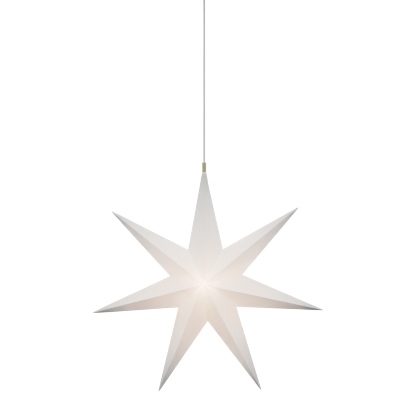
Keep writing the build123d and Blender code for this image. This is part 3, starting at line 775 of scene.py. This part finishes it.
def build_arm(name, k):
    outer, inner = Layer(0.0), Layer(PAPER_T)
    rows_x = [0.0, 0.0005, 0.0015, 0.0035, 0.006]
    steps = 64
    for i in range(1, steps + 1):
        x = i / steps
        rows_x.append(0.35 * x**2 + 0.65 * x)
    rows_x = sorted(set(rows_x[:-1] + [0.83 + 0.0085 * i for i in range(19)] + [1 - 1.6 / 270, 1 - 0.5 / 270, 1.0]))
    u = np.array([math.cos(arm_angle(k)), 0.0, math.sin(arm_angle(k))])
    v = np.array([-math.sin(arm_angle(k)), 0.0, math.cos(arm_angle(k))])
    f = np.array([0.0, -1.0, 0.0])
    seam_sides = {3: (-1,), 4: (1,)}.get(k, ())

    def place(local):
        return CENTRE + np.outer(local[:, 0], u) + np.outer(local[:, 1], v) + np.outer(local[:, 2], f)

    verts, folds, tips, sides, layers = [], [], [], [], []
    waves = {}
    for layer in (outer, inner):
        if k == 0:
            blunt = 0.0
            q0 = layer.q_at(NECK_AXIAL - NECK_FUNNEL)
        else:
            blunt = BLUNT[k] if layer is outer else max(BLUNT[k] + 1.6 - WALL_SHIFT, 0.8)
            q0 = blunt / (layer.tip - layer.av)
        rows = []
        if k == 0:
            # the gathered neck: a round collar in the sleeve, then the turn from round to folded
            first, info = layer.ring(q0)
            first = hand_fold(place(first))
            r = NECK_R - layer.depth
            turn = []
            for i, s, length, corner in info:
                n = len(turn) % (3 + EDGE_N + 2)
                turn.append(-math.pi / 2 - math.pi / 2 * (i + (n - 1) / (3 + EDGE_N + 2)))
            turn = np.array(turn)
            round_xy = np.stack([r * np.cos(turn), r * np.sin(turn)], axis=1)
            for z in (SLEEVE_BOTTOM + NECK_IN, SLEEVE_BOTTOM + NECK_IN - 0.6, SLEEVE_BOTTOM + 4.0, SLEEVE_BOTTOM + 0.8):
                rows.append((np.column_stack([round_xy, np.full(RING_N, z)]), [0.0] * RING_N, False))
            base = np.column_stack([round_xy, np.full(RING_N, SLEEVE_BOTTOM)])
            flare = (NECK_TOP_R - layer.depth) / r - 1
            for t in (0.0, 0.008, 0.018, 0.033, 0.06, 0.11, 0.18, 0.26, 0.36, 0.48, 0.60, 0.73, 0.86):
                # pleats gathered under the sleeve
                lift = 0.22 * math.sin(math.pi * t) ** 2 * (1 - t)
                top = base.copy()
                top[:, :2] *= 1 + flare * ease(t / 0.033)
                p = top + (first - top) * t
                centre = p.mean(axis=0)
                rel = p - centre
                rel[:, :2] *= (1 + lift / 6.0 * np.cos(8 * turn + 0.7))[:, None]
                rows.append((centre + rel, [0.6] * RING_N, False))
        for j, x in enumerate(rows_x):
            q = q0 + (1 - q0) * x
            local, info = layer.ring(q, blunt)
            fold = [0.0 if corner else min(s, length - s) for i, s, length, corner in info]
            if layer is outer:
                # the card is never quite flat between its folds
                wave = []
                for p, (i, s, length, corner) in zip(local, info):
                    a = noise.noise(Vector((p[0] / 95 + 7.3 * k, p[1] / 60 + 3.1 * i, p[2] / 60 + 1.7 * k)))
                    b = noise.noise(Vector((p[0] / 38 + 2.9 * k, p[1] / 30 + 5.7 * i, p[2] / 30)))
                    edge = math.sin(math.pi * min(max(s / length, 0), 1)) if not corner else 0.0
                    wave.append((0.75 * a + 0.25 * b) * 0.55 * edge * ease(q / 0.25) * ease((1.0 - q) / 0.12))
                waves[j] = wave
            for n, (i, s, length, corner) in enumerate(info):
                sy = 1 if i in (0, 1) else -1
                sz = 1 if i in (0, 3) else -1
                normal = np.array([abs(_n[0]), sy * abs(_n[1]), sz * abs(_n[2])])
                local[n] += normal * waves[j][n]
            rows.append((place(local), fold, True))
        # flaps folded inwards along the valleys
        local, info = layer.ring(1.0)
        reference, _ = outer.ring(1.0)
        for step in FLAP_STEPS:
            moved = np.zeros_like(local)
            for n, (i, s, length, corner) in enumerate(info):
                direction, side = inward_of(i, corner)
                along = (s if i % 2 == 0 else length - s) if not corner else (0.0 if i % 2 == 0 else length)
                start = float((local[n] - reference[n]) @ direction)
                width = flap_width(along * FOLD_L / length)
                reach = step * max(width - start, 0.12) if layer is inner else step * width
                p = local[n] + direction * reach
                away = np.array([SIN_H, -side * COS_H, 0.0])
                p = p + away * 0.04 * ease(reach / 2.0)
                if side in seam_sides and not corner:
                    p = p + away * DOT_T * ease(reach / 4.0)
                moved[n] = p
            rows.append((place(moved), [0.4] * RING_N, True))
        first_index = len(verts)
        for points, fold, warped in rows:
            verts.extend((hand_fold(points) if warped else points).tolist())
            folds.extend(fold)
            sides.extend(RING_SIDE)
            # the inside stays single, and takes no painted shade at the points
            tips.extend((TIP_R - (points - CENTRE) @ u).tolist() if layer is outer else [TIP_R] * len(points))
        layers.append((first_index, len(rows)))

    made = []
    for which, (start, count) in enumerate(layers):
        for i in range(count - 1):
            for j in range(RING_N):
                n = (j + 1) % RING_N
                a, b, c, d = (start + i * RING_N + j, start + i * RING_N + n, start + (i + 1) * RING_N + n, start + (i + 1) * RING_N + j)
                made.append((a, b, c, d) if which == 0 else (d, c, b, a))
    (s0, n0), (s1, n1) = layers
    for j in range(RING_N):
        n = (j + 1) % RING_N
        # free edge of the flaps
        made.append((s0 + (n0 - 1) * RING_N + j, s0 + (n0 - 1) * RING_N + n, s1 + (n1 - 1) * RING_N + n, s1 + (n1 - 1) * RING_N + j))
        if k == 0:
            made.append((s0 + n, s0 + j, s1 + j, s1 + n))
    if k:
        for start in (s0, s1):
            ring = np.array(verts[start : start + RING_N])
            centre = ring.mean(axis=0) + u * (0.25 if start == s0 else 0.4)
            verts.append(centre.tolist())
            folds.append(0.0)
            tips.append(0.0)
            sides.append(0.5)
            for j in range(RING_N):
                n = (j + 1) % RING_N
                tri = (start + n, start + j, len(verts) - 1)
                made.append(tri if start == s0 else tri[::-1])

    mesh = bpy.data.meshes.new(name)
    mesh.from_pydata((np.array(verts) / 1000).tolist(), [], made)
    work = bmesh.new()
    work.from_mesh(mesh)
    bmesh.ops.recalc_face_normals(work, faces=work.faces)
    if work.calc_volume(signed=True) < 0:
        bmesh.ops.reverse_faces(work, faces=work.faces[:])
    work.to_mesh(mesh)
    work.free()
    flat = (np.array(verts) - CENTRE)[:, [0, 2]]
    valley = np.min([np.abs(flat @ STOP_NORMAL[i]) + 1e3 * (flat @ STOP_TO[i] < 0) for i in VALLEY_STOPS], axis=0)
    glows = np.exp(-((np.linalg.norm(flat, axis=1) / GLOW_R) ** 1.3)) * (0.72 + 0.28 * np.exp(-valley / 4.5))
    # painted shade for every point of the card, kept in the grey attribute
    painted_shades = [painted_shade_at(k, tip, side) for tip, side in zip(tips, sides)]
    for label, values in (("fold", folds), ("tip", tips), ("glow", glows), ("grey", painted_shades)):
        attribute = mesh.attributes.new(label, "FLOAT", "POINT")
        attribute.data.foreach_set("value", np.array(values, np.float32))
    mesh.materials.append(MATERIALS["paper"])
    mesh.shade_smooth()
    mesh.set_sharp_from_angle(angle=math.radians(50))
    mesh.validate()
    piece = bpy.data.objects.new(name, mesh)
    scene.collection.objects.link(piece)
    return piece, v


ARMS = (
    ("arm_top", "star", "seam_open"),
    ("arm_upper_right", "upper_right", "seam_upper_right"),
    ("arm_right", "right", "seam_right"),
    ("arm_lower_right", "lower_right", "seam_open"),
    ("arm_lower_left", "lower_left", "seam_lower_left"),
    ("arm_left", "left", "seam_left"),
    ("arm_upper_left", "upper_left", "seam_upper_left"),
)
for k, (node, body, joint) in enumerate(ARMS):
    piece, v = build_arm(node + "_card", k)
    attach(piece, body)
    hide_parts(node)
    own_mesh(piece)

# ---------------------------------------------------------------- floor and light

WHITE = 8.0             # scene light that comes out as paper white
SHOULDER = 0.42         # scene light that comes out as half of it
TOP_LIGHT = (2.36, 2.38, 2.29)
SIDE_LIGHT = (1.22, 1.22, 1.17)
FLOOR_Z = -2.3
FLOOR_R = 8.5
FLOOR_VEIL = 0.145
disc = bmesh.new()
bmesh.ops.create_circle(disc, cap_ends=True, radius=FLOOR_R, segments=96)
floor_mesh = bpy.data.meshes.new("floor")
disc.to_mesh(floor_mesh)
disc.free()
# a pale veil over the white backdrop, gone at its far edge
m = Mat("floor")
at = m.coords()
far = m.add("ShaderNodeVectorMath", operation="LENGTH")
m.link(at, far.inputs[0])
grain = m.noise(at, 3.0, 4.0, 0.5)
veil = m.span(far.outputs["Value"], 4.5, 8.0, FLOOR_VEIL, 0.0, smooth=True)
veil = m.math("MULTIPLY", veil, m.span(grain, 0.3, 0.7, 1.04, 0.96))
ground = m.add("ShaderNodeEmission")
ground.inputs["Color"].default_value = (1.0, 1.0, 1.0, 1.0)
ground.inputs["Strength"].default_value = 0.35
clear = m.add("ShaderNodeBsdfTransparent")
blend = m.add("ShaderNodeMixShader")
m.link(veil, blend.inputs["Fac"])
m.link(clear.outputs[0], blend.inputs[1])
m.link(ground.outputs[0], blend.inputs[2])
floor_mesh.materials.append(m.finish(blend.outputs[0]))
floor = bpy.data.objects.new("floor", floor_mesh)
floor.location = (0, 0, FLOOR_Z)
floor.visible_diffuse = False
floor.visible_transmission = False
floor.visible_glossy = False
scene.collection.objects.link(floor)

# a broad soft light from above, less from the sides
world = bpy.data.worlds.new("studio")
world.use_nodes = True
tree = world.node_tree
tree.nodes.clear()
direction = tree.nodes.new("ShaderNodeTexCoord")
split = tree.nodes.new("ShaderNodeSeparateXYZ")
tree.links.new(direction.outputs["Generated"], split.inputs[0])


def lobe(axis, colour):
    """Light from one side, strongest along the axis."""
    raised = tree.nodes.new("ShaderNodeMath")
    raised.operation = "MAXIMUM" if axis == "Z" else "ABSOLUTE"
    raised.inputs[1].default_value = 0.0
    tree.links.new(split.outputs[axis], raised.inputs[0])
    square = tree.nodes.new("ShaderNodeMath")
    square.operation = "MULTIPLY"
    tree.links.new(raised.outputs[0], square.inputs[0])
    tree.links.new(raised.outputs[0], square.inputs[1])
    light = tree.nodes.new("ShaderNodeBackground")
    light.inputs["Color"].default_value = (*colour, 1.0)
    tree.links.new(square.outputs[0], light.inputs["Strength"])
    return light.outputs[0]


both = tree.nodes.new("ShaderNodeAddShader")
tree.links.new(lobe("Z", TOP_LIGHT), both.inputs[0])
tree.links.new(lobe("X", SIDE_LIGHT), both.inputs[1])
output = tree.nodes.new("ShaderNodeOutputWorld")
tree.links.new(both.outputs[0], output.inputs[0])
scene.world = world
scene.cycles.max_bounces = 36
scene.cycles.diffuse_bounces = 28
scene.cycles.transmission_bounces = 28
scene.cycles.sample_clamp_indirect = 20.0
scene.cycles.filter_width = 1.15

# tone: a soft shoulder, so that the lit paper keeps its colour, over a plain white backdrop
scene.view_settings.view_transform = "Standard"
scene.view_settings.look = "None"
scene.view_settings.exposure = 0.0
scene.view_settings.gamma = 1.0
scene.render.film_transparent = True
scene.use_nodes = True
tree = scene.node_tree
tree.nodes.clear()
taken = tree.nodes.new("CompositorNodeRLayers")
straight = tree.nodes.new("CompositorNodePremulKey")
straight.mapping = "PREMUL_TO_STRAIGHT"
tone = tree.nodes.new("CompositorNodeCurveRGB")
tone.inputs["White Level"].default_value = (WHITE, WHITE, WHITE, 1.0)
levels = [(x, x / (x + SHOULDER)) for x in (0.04, 0.09, 0.16, 0.25, 0.36, 0.5, 0.7, 0.95, 1.25, 1.65, 2.15, 2.8)]
for x, y in levels + [(3.8, 0.910), (5.2, 0.950), (6.6, 0.978)]:
    tone.mapping.curves[3].points.new(x / WHITE, y)
tone.mapping.update()
over = tree.nodes.new("CompositorNodeAlphaOver")
over.inputs[1].default_value = (1.0, 1.0, 1.0, 1.0)
over.inputs["Straight Alpha"].default_value = True
shown = tree.nodes.new("CompositorNodeComposite")
tree.links.new(taken.outputs["Image"], straight.inputs["Image"])
tree.links.new(straight.outputs["Image"], tone.inputs["Image"])
tree.links.new(tone.outputs["Image"], over.inputs[2])
tree.links.new(over.outputs["Image"], shown.inputs["Image"])
